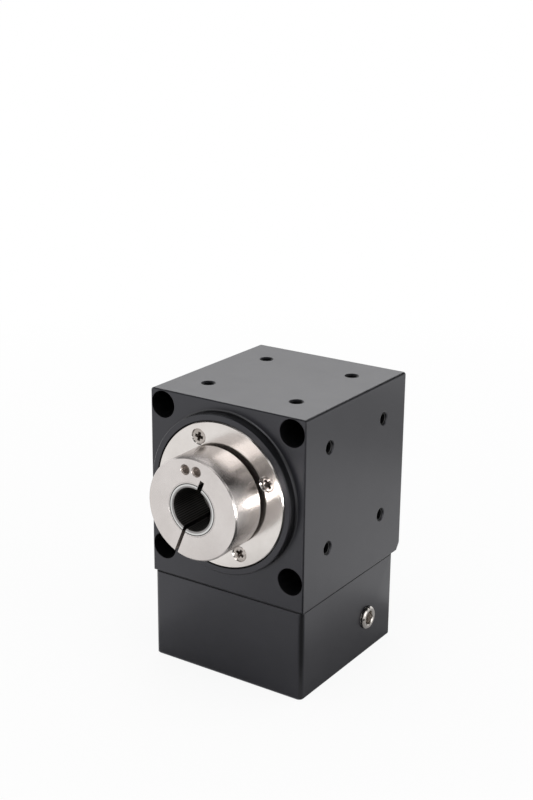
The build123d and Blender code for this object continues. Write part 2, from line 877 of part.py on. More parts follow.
def make_adapter():
    shell = block((-adapter_half, adapter_half), (-adapter_half, adapter_half), (adapter_bottom, seam))
    shell = fillet(shell.edges().filter_by(Axis.Z), adapter_edge_radius)
    shell = chamfer(shell.faces().sort_by(Axis.Z)[0].edges(), adapter_edge_chamfer)
    recess = carrier_flange_radius + end_gap
    shell -= turned(
        (0, seam + over_cut),
        (recess, seam + over_cut),
        (recess, adapter_recess_floor),
        (adapter_cavity_radius, adapter_recess_floor),
        (adapter_cavity_radius, pilot_floor),
        (pilot_radius, pilot_floor),
        (pilot_radius, adapter_bottom - over_cut),
        (0, adapter_bottom - over_cut),
    )
    holes = []
    for x, y in corners(motor_screw_pitch / 2, motor_screw_pitch / 2):
        mouth = (x, y, adapter_bottom)
        holes.append(tapped(mouth, (0, 0, 1), face_hole_radius, face_hole_mouth, motor_screw_depth))
    for x, y in corners(adapter_screw_x, adapter_screw_y):
        holes.append(drilled(m4["radius"] + head_room, (x, y, adapter_head_seat), (x, y, seam)))
        holes.append(drilled(m4["head"] + head_room, (x, y, adapter_bottom), (x, y, adapter_head_seat)))
    plug_axis = (clamp_offset, input_collar_middle)
    holes.append(drilled(plug_radius + seat_gap, (0, *plug_axis), (adapter_half + over_cut, *plug_axis)))
    return shell - holes


def make_plug():
    # Hexagon socket set screw that closes the hole over the input clamp screw.
    end = adapter_half + plug_proud
    plug = turned(
        (0, 0),
        (plug_radius - plug_chamfer, 0),
        (plug_radius, plug_chamfer),
        (plug_radius, plug_length - plug_chamfer),
        (plug_radius - plug_chamfer, plug_length),
        (0, plug_length),
    )
    socket = extrude(RegularPolygon(plug_socket / 2, 6, major_radius=False), plug_socket_depth)
    plug -= Pos(0, 0, plug_length - plug_socket_depth) * socket
    place = Plane(origin=(end - plug_length, clamp_offset, input_collar_middle), z_dir=(1, 0, 0))
    return place * plug


def seal(station, shaft_radius, outer, width):
    # A lip seal on the output axis, its lip just off the shaft.
    return on_output_at(station) * ring(shaft_radius + running_gap, outer, 0, width)


def screw_row(size, length, places, facing):
    # Cap screws with their head seats at the places and their heads towards facing.
    screw = cap_screw(size, length)
    return [Plane(origin=place, z_dir=facing) * screw for place in places]


def make_cover_screws():
    seat = back_face - m25["height"] - head_room
    circle = round_the_circle(cover_screw_circle, screws_round, case_screw_angle)
    return screw_row(m25, cover_screw_length, [(x, seat, z) for x, z in circle], (0, 1, 0))


def make_carrier_screws():
    circle = round_the_circle(carrier_screw_circle, screws_round, case_screw_angle)
    places = [(x, y, carrier_flange_bottom) for x, y in circle]
    return screw_row(m3, carrier_screw_length, places, (0, 0, -1))


def make_adapter_screws():
    places = [(x, y, adapter_head_seat) for x, y in corners(adapter_screw_x, adapter_screw_y)]
    return screw_row(m4, adapter_screw_length, places, (0, 0, -1))


def make_cover_ring():
    outer = cavity_radius - seat_gap
    groove_front = cover_seat - 2 * ring_width
    return on_output_at(groove_front) * ring(outer - ring_depth + seat_gap, outer, 0, ring_width)


def make_carrier_ring():
    low = ring_groove_middle - ring_width / 2
    return Pos(0, 0, low) * ring(carrier_radius - ring_depth + seat_gap, carrier_radius, 0, ring_width)


def make_input_seal():
    return ring(nose_radius + running_gap, bearing_radius, input_seal_bottom, input_seal_top)


def make_shaft_spacer():
    return on_output * ring(journal_radius + seat_gap, seal_shoulder_radius, front_bearing_back, hub_front)


def make_cone_spacer():
    return ring(journal_radius + seat_gap, seal_shoulder_radius, lower_bearing_top, upper_bearing_bottom)


def write(name, piece):
    solids = piece if isinstance(piece, list) else [piece]
    solids = [solid for item in solids for solid in item.solids()]
    shape = solids[0] if len(solids) == 1 else Compound(children=solids)
    export_step(shape, f"parts/{name}.step")


# Fixed pieces
write("gearbox_housing", make_housing())
write("motor_adapter", make_adapter())
write("rear_cover", make_rear_cover())
write("pinion_carrier", make_pinion_carrier())
write("access_plug", make_plug())
write("front_oil_seal", seal(front_seal_front, seal_shoulder_radius, front_bearing_radius, front_seal_width))
write("rear_oil_seal", seal(rear_seal_front, journal_radius, rear_seal_radius, rear_seal_width))
write("input_oil_seal", make_input_seal())
write("front_circlip", make_circlip())
write("rear_cover_o_ring", make_cover_ring())
write("carrier_o_ring", make_carrier_ring())
write("rear_cover_screws", make_cover_screws())
write("carrier_screws", make_carrier_screws())
write("adapter_screws", make_adapter_screws())

# Output rotor
write("hollow_shaft", make_hollow_shaft())
write("output_flange_plate", make_flange_plate())
write("flange_plate_screws", make_plate_screws())
write("output_collar", make_output_collar())
write("output_clamp_screw", on_nose(make_clamp_screw(output_collar_width)))
write("shaft_spacer", make_shaft_spacer())
write("ring_gear", make_ring_gear())
write("gear_key", make_gear_key())
write("shaft_locknut", on_output_at(rear_bearing_back) * make_locknut(rear_nut_width))

# Input rotor
write("pinion_shaft", make_pinion_shaft())
write("cone_spacer", make_cone_spacer())
write("pinion_locknut", Pos(0, 0, input_nut_bottom) * make_locknut(input_nut_width))
write("input_collar", on_input_at(input_collar_bottom) * make_collar(input_collar_width))
write("input_clamp_screw", on_input_at(input_collar_bottom) * make_clamp_screw(input_collar_width))

# Bearings
write("front_bearing_outer_ring", make_crossed_outer())
write("front_bearing_inner_ring", make_crossed_inner())
write("front_bearing_rollers", make_crossed_rollers())
half_bearing = bearing_width / 2
bearings = {
    "rear_bearing": (on_output_at(hub_back + half_bearing), 0),
    "upper_pinion_bearing": (on_input_at(upper_bearing_top - half_bearing), pinion_roller_tilt),
    "lower_pinion_bearing": (on_input_at(lower_bearing_top - half_bearing, True), pinion_roller_tilt),
}
for bearing, (place, tilt) in bearings.items():
    write(f"{bearing}_outer_ring", place * make_outer_race(tilt))
    write(f"{bearing}_inner_ring", place * make_inner_race(tilt))
    write(f"{bearing}_rollers", [place * roller for roller in make_rollers(tilt)])
    write(f"{bearing}_cage", place * make_cage(tilt))
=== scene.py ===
import bpy
import bmesh
from math import cos, pi, radians, sin
from mathutils import Matrix, Vector


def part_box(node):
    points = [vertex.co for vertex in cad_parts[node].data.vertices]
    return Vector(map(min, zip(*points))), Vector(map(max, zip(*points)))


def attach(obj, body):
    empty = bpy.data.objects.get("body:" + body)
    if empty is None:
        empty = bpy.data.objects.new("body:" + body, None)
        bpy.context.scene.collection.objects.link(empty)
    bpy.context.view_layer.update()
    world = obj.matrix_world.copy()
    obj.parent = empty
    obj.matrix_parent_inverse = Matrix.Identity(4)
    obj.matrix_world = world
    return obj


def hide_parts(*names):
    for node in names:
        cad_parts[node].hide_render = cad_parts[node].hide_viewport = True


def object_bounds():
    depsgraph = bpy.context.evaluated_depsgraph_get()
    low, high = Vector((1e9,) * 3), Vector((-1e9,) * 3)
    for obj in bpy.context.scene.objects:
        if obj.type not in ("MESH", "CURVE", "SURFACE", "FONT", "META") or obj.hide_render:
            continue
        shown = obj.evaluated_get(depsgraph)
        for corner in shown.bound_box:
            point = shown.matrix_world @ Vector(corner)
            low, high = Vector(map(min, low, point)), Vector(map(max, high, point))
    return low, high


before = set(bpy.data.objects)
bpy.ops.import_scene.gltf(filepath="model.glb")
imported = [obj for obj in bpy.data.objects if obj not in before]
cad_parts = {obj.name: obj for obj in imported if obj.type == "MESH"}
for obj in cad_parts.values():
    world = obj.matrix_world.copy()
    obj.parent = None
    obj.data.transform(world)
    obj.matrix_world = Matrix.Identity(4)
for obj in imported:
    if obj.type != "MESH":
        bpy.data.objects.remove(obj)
cadLow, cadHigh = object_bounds()
mm = 0.001


cameraSizes = {
    "place": (244.7, -374.7, 168.1),   # mm, from the crossing of the two shafts
    "yaw": 33.72,
    "pitch": 17.95,
    "roll": 0.51,
    "lens": 63.5,
    "shiftX": 0.0026,
    "shiftY": 0.0001,
}


def makeCamera():
    size = cameraSizes
    yaw, pitch, roll = (radians(size[k]) for k in ("yaw", "pitch", "roll"))
    ahead = Vector((-sin(yaw) * cos(pitch), cos(yaw) * cos(pitch), -sin(pitch)))
    level = Vector((cos(yaw), sin(yaw), 0))
    over = level.cross(ahead)
    right = level * cos(roll) + over * sin(roll)
    up = over * cos(roll) - level * sin(roll)
    data = bpy.data.cameras.new("camera")
    data.lens = size["lens"]
    data.shift_x, data.shift_y = size["shiftX"], size["shiftY"]
    data.clip_start, data.clip_end = 0.01, 20
    camera = bpy.data.objects.new("camera", data)
    turn = Matrix((right, up, -ahead)).transposed().to_4x4()
    camera.matrix_world = Matrix.Translation(Vector(size["place"]) * mm) @ turn
    bpy.context.scene.collection.objects.link(camera)
    bpy.context.scene.camera = camera


lampSizes = {
    # name: (place in mm, aim in mm, width, height, watts, seen in gloss)
    "topSoftbox": ((60, -100, 620), (0, -10, -10), 520, 420, 1.6, False),
    "frontSoftbox": ((-40, -540, 380), (0, -10, 0), 360, 170, 0.36, True),
    "rightSoftbox": ((560, -60, 240), (0, 0, -10), 320, 420, 0.5, True),
    "backSoftbox": ((-160, 240, 225), (0, 0, 30), 300, 170, 0.17, True),
    "lowStrip": ((200, -290, -40), (0, -20, -8), 300, 50, 0.62, True),
}


def makeLamps():
    for name, (place, aim, width, height, watts, inGloss) in lampSizes.items():
        data = bpy.data.lights.new(name, "AREA")
        data.shape = "RECTANGLE"
        data.size, data.size_y = width * mm, height * mm
        data.energy = watts
        lamp = bpy.data.objects.new(name, data)
        lamp.location = Vector(place) * mm
        lamp.visible_camera = False
        lamp.visible_glossy = inGloss
        lamp.rotation_euler = (Vector(aim) - Vector(place)).to_track_quat("-Z", "Y").to_euler()
        bpy.context.scene.collection.objects.link(lamp)


def glintOnNickel(lampName, *pieces):
    # the strip lights the collar and its plate alone
    nickel = bpy.data.collections.new("nickelPieces")
    for piece in pieces:
        nickel.objects.link(piece)
    bpy.data.objects[lampName].light_linking.receiver_collection = nickel


def newMaterial(name):
    material = bpy.data.materials.new(name)
    material.use_nodes = True
    tree = material.node_tree
    tree.nodes.clear()
    out = tree.nodes.new("ShaderNodeOutputMaterial")
    out.location = (900, 0)
    return material, tree, out


def put(tree, kind, at, settings=None, **values):
    # one node, its settings and the values on its sockets
    node = tree.nodes.new(kind)
    node.location = at
    for key, value in (settings or {}).items():
        setattr(node, key, value)
    for key, value in values.items():
        node.inputs[key.replace("_", " ")].default_value = value
    return node


def join(tree, source, target):
    tree.links.new(source, target)


def ramp(tree, at, low, high, fac):
    node = put(tree, "ShaderNodeValToRGB", at)
    node.color_ramp.elements[0].position, node.color_ramp.elements[1].position = low[0], high[0]
    node.color_ramp.elements[0].color = (*low[1], 1)
    node.color_ramp.elements[1].color = (*high[1], 1)
    join(tree, fac, node.inputs["Fac"])
    return node.outputs["Color"]


def spread(tree, at, value, fromRange, toRange):
    node = put(tree, "ShaderNodeMapRange", at)
    for socket, number in zip(("From Min", "From Max", "To Min", "To Max"), (*fromRange, *toRange)):
        node.inputs[socket].default_value = number
    join(tree, value, node.inputs["Value"])
    return node.outputs["Result"]


def noise(tree, at, vector, scale, detail=2.0, rough=0.5):
    node = put(tree, "ShaderNodeTexNoise", at, Scale=scale, Detail=detail, Roughness=rough)
    join(tree, vector, node.inputs["Vector"])
    return node.outputs["Fac"]


def edgeMask(tree, at, radius):
    # 1 along the edges, 0 on the flats
    x, y = at
    rounded = put(tree, "ShaderNodeBevel", (x, y), {"samples": 4}, Radius=radius)
    flat = put(tree, "ShaderNodeNewGeometry", (x, y - 160))
    dot = put(tree, "ShaderNodeVectorMath", (x + 180, y), {"operation": "DOT_PRODUCT"})
    join(tree, rounded.outputs["Normal"], dot.inputs[0])
    join(tree, flat.outputs["Normal"], dot.inputs[1])
    return rounded.outputs["Normal"], spread(tree, (x + 360, y), dot.outputs["Value"], (0.8, 0.995), (1, 0))


def bandMask(tree, at, value, low, high, soft):
    # 1 between low and high, falling to 0 over soft on both sides
    x, y = at
    rise = spread(tree, (x, y), value, (low - soft, low), (0, 1))
    fall = spread(tree, (x, y - 60), value, (high, high + soft), (1, 0))
    both = put(tree, "ShaderNodeMath", (x + 180, y), {"operation": "MULTIPLY"})
    join(tree, rise, both.inputs[0])
    join(tree, fall, both.inputs[1])
    return both.outputs["Value"]


def radiusAbout(tree, at, split, first, second):
    # how far a point lies from the axis that stands on these two directions
    flat = put(tree, "ShaderNodeCombineXYZ", at)
    join(tree, split.outputs[first], flat.inputs["X"])
    join(tree, split.outputs[second], flat.inputs["Y"])
    reach = put(tree, "ShaderNodeVectorMath", (at[0] + 180, at[1]), {"operation": "LENGTH"})
    join(tree, flat.outputs["Vector"], reach.inputs[0])
    return reach.outputs["Value"]


def allOf(tree, at, *masks):
    result = masks[0]
    for k, mask in enumerate(masks[1:]):
        node = put(tree, "ShaderNodeMath", (at[0] + 160 * k, at[1]), {"operation": "MULTIPLY"})
        join(tree, result, node.inputs[0])
        join(tree, mask, node.inputs[1])
        result = node.outputs["Value"]
    return result


def blendColour(tree, at, fac, first, second):
    node = put(tree, "ShaderNodeMix", at, {"data_type": "RGBA"})
    join(tree, fac, node.inputs["Factor"])
    join(tree, first, next(i for i in node.inputs if i.name == "A" and i.enabled))
    next(i for i in node.inputs if i.name == "B" and i.enabled).default_value = (*second, 1)
    return next(o for o in node.outputs if o.enabled)


def blendNumber(tree, at, fac, first, second):
    node = put(tree, "ShaderNodeMix", at, {"data_type": "FLOAT"})
    join(tree, fac, node.inputs["Factor"])
    join(tree, first, next(i for i in node.inputs if i.name == "A" and i.enabled))
    next(i for i in node.inputs if i.name == "B" and i.enabled).default_value = second
    return next(o for o in node.outputs if o.enabled)


anodiseSizes = {
    "dark": (0.0085, 0.0085, 0.0115), "light": (0.0145, 0.0145, 0.018),
    # the edge tone is painted shade along the edges
    # the hole tone is painted shade in the holes and at the foot of the boss
    "edge": (0.003, 0.003, 0.004), "hole": (0.0045, 0.0045, 0.005), "sheen": (0.94, 0.94, 1.0, 1),
    "cloudScale": 38, "grainScale": 4200, "smearScale": 120, "grainStrength": 0.22, "grainDepth": 0.02,
    "edgeWidth": 0.4, "edgeRoughness": 0.28, "holeRoughness": 0.38, "holeDepth": 0.2, "soft": 0.1, "ior": 1.6,
    "blockFront": -30.0, "stepEnd": 46.0,
    "bossFootShade": (24.9, 27.9, -33.35, -30.04),   # from radius, to radius, from y, to y
}


def holeMask(tree, split, block):
    # every point deeper than the outer faces of the block is the wall of a hole, where shade is painted
    size = anodiseSizes
    low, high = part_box(block)
    deep, soft = size["holeDepth"] * mm, size["soft"] * mm
    front = size["blockFront"] * mm if block == "gearbox_housing" else low.y
    sides = (("X", low.x, high.x), ("Y", front, high.y), ("Z", low.z, high.z))
    within = [bandMask(tree, (-900, 900 - 160 * k), split.outputs[a], near + deep, away - deep, soft)
              for k, (a, near, away) in enumerate(sides)]
    if block == "gearbox_housing":
        # not the step at the lower back edge
        slant = put(tree, "ShaderNodeMath", (-900, 400), {"operation": "SUBTRACT"})
        join(tree, split.outputs["Y"], slant.inputs[0])
        join(tree, split.outputs["Z"], slant.inputs[1])
        end = size["stepEnd"] * mm
        within.append(spread(tree, (-700, 400), slant.outputs["Value"], (end, end + 0.5 * mm), (1, 0)))
    return allOf(tree, (-500, 800), *within)


# painted shade at the foot of the boss, around the plate
def bossFootShadeMask(tree, split):
    inner, outer, start, end = (v * mm for v in anodiseSizes["bossFootShade"])
    soft = anodiseSizes["soft"] * mm
    reach = radiusAbout(tree, (-900, 1200), split, "X", "Z")
    return allOf(tree, (-300, 1200), bandMask(tree, (-500, 1200), reach, inner, outer, soft),
                 bandMask(tree, (-500, 1060), split.outputs["Y"], start, end, soft))


def makeAnodise(name, seedShift, roughness, block):
    # black anodised aluminium: fine matt grain, faint clouds in tone, with painted shade along its edges, in
    # its holes and, on the housing, at the foot of the boss
    size = anodiseSizes
    material, tree, out = newMaterial(name)
    coords = put(tree, "ShaderNodeTexCoord", (-1300, 0))
    moved = put(tree, "ShaderNodeMapping", (-1120, 0), Location=seedShift)
    join(tree, coords.outputs["Object"], moved.inputs["Vector"])
    place = moved.outputs["Vector"]
    clouds = noise(tree, (-900, 200), place, size["cloudScale"], 4, 0.6)
    grain = noise(tree, (-900, -60), place, size["grainScale"], 2, 0.7)
    smear = noise(tree, (-900, -320), place, size["smearScale"], 3, 0.55)
    tone = ramp(tree, (-680, 200), (0.3, size["dark"]), (0.75, size["light"]), clouds)
    roundedNormal, edge = edgeMask(tree, (-900, 460), size["edgeWidth"] * mm)
    rough = spread(tree, (-300, -60), smear, (0.25, 0.8), roughness)
    # painted shade: the edges take a darker tone
    tone = blendColour(tree, (-480, 300), edge, tone, size["edge"])
    rough = blendNumber(tree, (-120, -120), edge, rough, size["edgeRoughness"])
    if block:
        split = put(tree, "ShaderNodeSeparateXYZ", (-1120, 800))
        join(tree, coords.outputs["Object"], split.inputs["Vector"])
        hole = holeMask(tree, split, block)
        if block == "gearbox_housing":
            # painted shade at the foot of the boss
            tone = blendColour(tree, (-360, 420), bossFootShadeMask(tree, split), tone, size["hole"])
        # painted shade in the holes
        tone = blendColour(tree, (-240, 420), hole, tone, size["hole"])
        rough = blendNumber(tree, (60, -120), hole, rough, size["holeRoughness"])
    bump = put(tree, "ShaderNodeBump", (-120, -320),
               Strength=size["grainStrength"], Distance=size["grainDepth"] * mm)
    join(tree, grain, bump.inputs["Height"])
    join(tree, roundedNormal, bump.inputs["Normal"])
    shader = put(tree, "ShaderNodeBsdfPrincipled", (300, 0), IOR=size["ior"])
    shader.inputs["Specular Tint"].default_value = size["sheen"]
    join(tree, tone, shader.inputs["Base Color"])
    join(tree, rough, shader.inputs["Roughness"])
    join(tree, bump.outputs["Normal"], shader.inputs["Normal"])
    join(tree, shader.outputs["BSDF"], out.inputs["Surface"])
    return material


turnedSizes = {
    "cloudScale": 90, "ringStrength": 0.16, "edgeWidth": 0.15, "pocketRoughness": 0.5, "pocketSoft": 0.04,
}


def makeTurnedMetal(name, axis, colours, roughness, ringScale, ringDepth, brushed=0.0, paintedLightBands=()):
    # plated or bare metal with the fine rings of a lathe tool about its axis
    # a painted band is (from radius, to radius, from, to along the axis) in mm and the tone painted there:
    # painted shade in recesses, gaps and dark lines, or a painted highlight on a ring
    size = turnedSizes
    material, tree, out = newMaterial(name)
    coords = put(tree, "ShaderNodeTexCoord", (-1500, 0))
    split = put(tree, "ShaderNodeSeparateXYZ", (-1320, 0))
    join(tree, coords.outputs["Object"], split.inputs["Vector"])
    first, second = {"Y": ("X", "Z"), "Z": ("X", "Y"), "X": ("Y", "Z")}[axis]
    reach = radiusAbout(tree, (-1140, 80), split, first, second)
    around = put(tree, "ShaderNodeCombineXYZ", (-780, 0))
    join(tree, reach, around.inputs["X"])
    join(tree, split.outputs[axis], around.inputs["Y"])
    rings = noise(tree, (-580, 0), around.outputs["Vector"], ringScale, 3, 0.7)
    clouds = noise(tree, (-580, 260), coords.outputs["Object"], size["cloudScale"], 4, 0.6)
    tone = ramp(tree, (-380, 260), (0.3, colours[0]), (0.75, colours[1]), clouds)
    rough = spread(tree, (-380, -60), rings, (0.2, 0.8), roughness)
    roundedNormal = edgeMask(tree, (-780, 560), size["edgeWidth"] * mm)[0]
    bump = put(tree, "ShaderNodeBump", (-120, -320), Strength=size["ringStrength"], Distance=ringDepth)
    join(tree, rings, bump.inputs["Height"])
    join(tree, roundedNormal, bump.inputs["Normal"])
    shader = put(tree, "ShaderNodeBsdfPrincipled", (500, 0), Metallic=1.0)
    if brushed:
        # the tool marks run round the axis, so a light is drawn out across them
        shader.inputs["Anisotropic"].default_value = brushed
        shader.inputs["Anisotropic Rotation"].default_value = 0.25
        back = put(tree, "ShaderNodeMath", (-1140, -200), {"operation": "MULTIPLY"})
        back.inputs[1].default_value = -1
        join(tree, split.outputs[first], back.inputs[0])
        along = put(tree, "ShaderNodeCombineXYZ", (-960, -200))
        join(tree, split.outputs[second], along.inputs[first])
        join(tree, back.outputs["Value"], along.inputs[second])
        turned = put(tree, "ShaderNodeVectorTransform", (-780, -200),
                     {"vector_type": "VECTOR", "convert_from": "OBJECT", "convert_to": "WORLD"})
        join(tree, along.outputs["Vector"], turned.inputs["Vector"])
        join(tree, turned.outputs["Vector"], shader.inputs["Tangent"])
    # each band paints shade or a highlight into the tone
    for k, (inner, outer, start, end, shade) in enumerate(paintedLightBands):
        x, y, soft = -200 + 160 * k, 900 + 200 * k, size["pocketSoft"] * mm
        paintedBand = allOf(tree, (-400, y), bandMask(tree, (-700, y), reach, inner * mm, outer * mm, soft),
                       bandMask(tree, (-700, y + 100), split.outputs[axis], start * mm, end * mm, soft))
        tone = blendColour(tree, (x, 300), paintedBand, tone, shade)
        rough = blendNumber(tree, (x, -60), paintedBand, rough, size["pocketRoughness"])
    join(tree, tone, shader.inputs["Base Color"])
    join(tree, rough, shader.inputs["Roughness"])
    join(tree, bump.outputs["Normal"], shader.inputs["Normal"])
    join(tree, shader.outputs["BSDF"], out.inputs["Surface"])
    return material


plainSizes = {"cloudScale": 220, "grainStrength": 0.3}


def makePlainFinish(name, colours, roughness, metallic, grainScale, grainDepth):
    # one tone with clouds and a fine grain: brass, rubber, oxide, machined aluminium
    material, tree, out = newMaterial(name)
    coords = put(tree, "ShaderNodeTexCoord", (-1100, 0))
    clouds = noise(tree, (-860, 200), coords.outputs["Object"], plainSizes["cloudScale"], 4, 0.6)
    grain = noise(tree, (-860, -120), coords.outputs["Object"], grainScale, 3, 0.6)
    tone = ramp(tree, (-620, 200), (0.3, colours[0]), (0.72, colours[1]), clouds)
    bump = put(tree, "ShaderNodeBump", (-120, -320),
               Strength=plainSizes["grainStrength"], Distance=grainDepth)
    join(tree, grain, bump.inputs["Height"])
    shader = put(tree, "ShaderNodeBsdfPrincipled", (300, 0), Metallic=metallic)
    join(tree, tone, shader.inputs["Base Color"])
    join(tree, spread(tree, (-380, -60), grain, (0.25, 0.75), roughness), shader.inputs["Roughness"])
    join(tree, bump.outputs["Normal"], shader.inputs["Normal"])
    join(tree, shader.outputs["BSDF"], out.inputs["Surface"])
    return material


finishes = {
    "caseAnodise": makeAnodise("caseAnodise", (0.3, 0.1, 0.7), (0.315, 0.345), "gearbox_housing"),
    "adapterAnodise": makeAnodise("adapterAnodise", (1.7, 0.4, 0.2), (0.325, 0.355), "motor_adapter"),
    "coverAnodise": makeAnodise("coverAnodise", (0.9, 1.4, 0.5), (0.30, 0.40), ""),
    # painted shade: the threads take the dark tone of the shaded hole walls
    "threadAnodise": makePlainFinish(
        "threadAnodise", ((0.004, 0.004, 0.005), (0.008, 0.008, 0.009)), (0.3, 0.42), 0.0, 3600, 0.008 * mm),
    "plateNickel": makeTurnedMetal(
        "plateNickel", "Y", ((0.69, 0.65, 0.62), (0.785, 0.75, 0.72)), (0.14, 0.21), 5200, 0.012 * mm, 0.15),
    "collarNickel": makeTurnedMetal(
        "collarNickel", "Y", ((0.62, 0.58, 0.56), (0.70, 0.66, 0.64)), (0.24, 0.28), 7600, 0.0015 * mm, 0.6,
        # painted shade in the collar's spot holes, slit and notch, and a painted dark line of shade at its
        # bore
        [(9.4, 16.6, -48.22, -35.6, (0.32, 0.28, 0.255)), (8.9, 9.1, -48.25, -36, (0.03, 0.027, 0.025))]),
    "shaftSteel": makeTurnedMetal(
        "shaftSteel", "Y", ((0.60, 0.60, 0.59), (0.70, 0.70, 0.69)), (0.19, 0.22), 6200, 0.001 * mm, 0.3,
        # a painted highlight on the outer rim of the shaft's front end, painted dark lines of shade on its
        # face, an even tone down the bore, and painted shade on the shaft's neck and bore mouth behind the
        # collar
        [(8.62, 9.1, -49, -48.1, (0.67, 0.635, 0.615)), (7.2, 7.82, -49, -48, (0.36, 0.35, 0.345)),
         (8.38, 8.62, -49, -48.1, (0.03, 0.028, 0.027)), (0, 7.12, -47.85, 40, (0.66, 0.65, 0.63)),
         (7.0, 9.2, -48.1, -33, (0.03, 0.027, 0.025))]),
    "pinionSteel": makeTurnedMetal(
        "pinionSteel", "Z", ((0.42, 0.42, 0.42), (0.55, 0.55, 0.54)), (0.22, 0.34), 6000, 0.006 * mm),
    "gearSteel": makeTurnedMetal(
        "gearSteel", "Y", ((0.36, 0.36, 0.37), (0.50, 0.50, 0.50)), (0.24, 0.36), 5000, 0.008 * mm),
    "bearingSteel": makeTurnedMetal(
        "bearingSteel", "Y", ((0.58, 0.58, 0.59), (0.68, 0.68, 0.69)), (0.12, 0.2), 7000, 0.003 * mm),
    "carrierAluminium": makePlainFinish(
        "carrierAluminium", ((0.52, 0.52, 0.53), (0.64, 0.64, 0.65)), (0.3, 0.42), 1.0, 2600, 0.01 * mm),
    "cageBrass": makePlainFinish(
        "cageBrass", ((0.62, 0.42, 0.18), (0.74, 0.53, 0.25)), (0.25, 0.38), 1.0, 2400, 0.01 * mm),
    "screwOxide": makePlainFinish(
        "screwOxide", ((0.014, 0.014, 0.016), (0.03, 0.03, 0.033)), (0.28, 0.4), 0.0, 3600, 0.008 * mm),
    "screwNickel": makePlainFinish(
        "screwNickel", ((0.58, 0.54, 0.50), (0.74, 0.71, 0.68)), (0.14, 0.24), 1.0, 3000, 0.005 * mm),
    "plateScrewNickel": makePlainFinish(
        "plateScrewNickel", ((0.40, 0.36, 0.33), (0.54, 0.50, 0.47)), (0.2, 0.3), 1.0, 3000, 0.008 * mm),
    # painted shade: the dark tone of the screws' cross recesses
    "recessSteel": makePlainFinish(
        "recessSteel", ((0.15, 0.13, 0.115), (0.24, 0.21, 0.19)), (0.26, 0.36), 1.0, 3000, 0.01 * mm),
    "sealRubber": makePlainFinish(
        "sealRubber", ((0.012, 0.012, 0.012), (0.022, 0.021, 0.02)), (0.5, 0.66), 0.0, 5200, 0.02 * mm),
}
print("finishes made:", len(finishes))

nodeFinish = {
    "gearbox_housing": "caseAnodise", "motor_adapter": "adapterAnodise", "rear_cover": "coverAnodise",
    "pinion_carrier": "carrierAluminium", "access_plug": "screwNickel", "output_flange_plate": "plateNickel",
    "flange_plate_screws": "screwNickel", "output_collar": "collarNickel", "input_collar": "pinionSteel",
    "hollow_shaft": "shaftSteel", "shaft_spacer": "shaftSteel", "shaft_locknut": "gearSteel",
    "pinion_shaft": "pinionSteel", "cone_spacer": "pinionSteel", "pinion_locknut": "gearSteel",
    "ring_gear": "gearSteel", "gear_key": "gearSteel",
}
kindFinish = {
    "seal": "sealRubber", "o_ring": "sealRubber", "screw": "screwOxide", "cage": "cageBrass",
    "rollers": "bearingSteel", "ring": "bearingSteel", "circlip": "gearSteel",
}
for nodeName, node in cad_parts.items():
    finish = nodeFinish.get(nodeName) or next(f for kind, f in kindFinish.items() if kind in nodeName)
    for slot in node.material_slots:
        slot.material = finishes[finish]
print("finishes given to the nodes:", len(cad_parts))


def newObject(name, mesh):
    made = bpy.data.objects.new(name, mesh)
    bpy.context.scene.collection.objects.link(made)
    return made


def turnedPiece(name, outline, steps=48):
    # (radius, height) points turned about Z; an outline that starts and ends on the axis is closed there
    work = bmesh.new()
    loops = []
    for radius, height in outline:
        if radius < 1e-9:
            loops.append([work.verts.new((0, 0, height))])
        else:
            loops.append([
                work.verts.new((radius * cos(2 * pi * k / steps), radius * sin(2 * pi * k / steps), height))
                for k in range(steps)])
    ends = [] if len(loops[0]) == 1 else [(loops[-1], loops[0])]
    for low, high in list(zip(loops, loops[1:])) + ends:
        for k in range(steps):
            after = (k + 1) % steps
            corners = [low[k % len(low)], low[after % len(low)], high[after % len(high)], high[k % len(high)]]
            unique = list(dict.fromkeys(corners))
            if len(unique) > 2:
                work.faces.new(unique)
    bmesh.ops.recalc_face_normals(work, faces=work.faces)
    mesh = bpy.data.meshes.new(name)
    work.to_mesh(mesh)
    work.free()
    return newObject(name, mesh)


def plainMesh(made, name):
    # the evaluated object as a mesh of its own, with its modifiers gone
    bpy.context.view_layer.update()
    graph = bpy.context.evaluated_depsgraph_get()
    mesh = bpy.data.meshes.new_from_object(made.evaluated_get(graph))
    mesh.name = name
    made.modifiers.clear()
    made.data = mesh
    return made


def cutAway(made, *cutters):
    for cutter in cutters:
        step = made.modifiers.new("cut", "BOOLEAN")
        step.operation, step.solver, step.object = "DIFFERENCE", "EXACT", cutter
        step.material_mode = "TRANSFER"
    plainMesh(made, made.name)
    for cutter in cutters:
        bpy.data.objects.remove(cutter)
    return made


def softEdges(made, width, angle=35):
    step = made.modifiers.new("soft", "BEVEL")
    step.width, step.segments, step.limit_method = width, 2, "ANGLE"
    step.angle_limit = radians(angle)
    plainMesh(made, made.name)
    made.data.shade_smooth()
    made.data.set_sharp_from_angle(angle=radians(angle))
    return made


def prism(name, sides, across, low, high, taper=1.0):
    # a bar of regular section down Z, its lower end scaled by taper
    work = bmesh.new()
    reach = across / 2 / cos(pi / sides)
    ends = [
        [work.verts.new((reach * s * cos(2 * pi * k / sides), reach * s * sin(2 * pi * k / sides), z))
         for k in range(sides)] for s, z in ((taper, low), (1, high))]
    work.faces.new(ends[0][::-1])
    work.faces.new(ends[1])
    for k in range(sides):
        after = (k + 1) % sides
        work.faces.new((ends[0][k], ends[0][after], ends[1][after], ends[1][k]))
    mesh = bpy.data.meshes.new(name)
    work.to_mesh(mesh)
    work.free()
    return newObject(name, mesh)


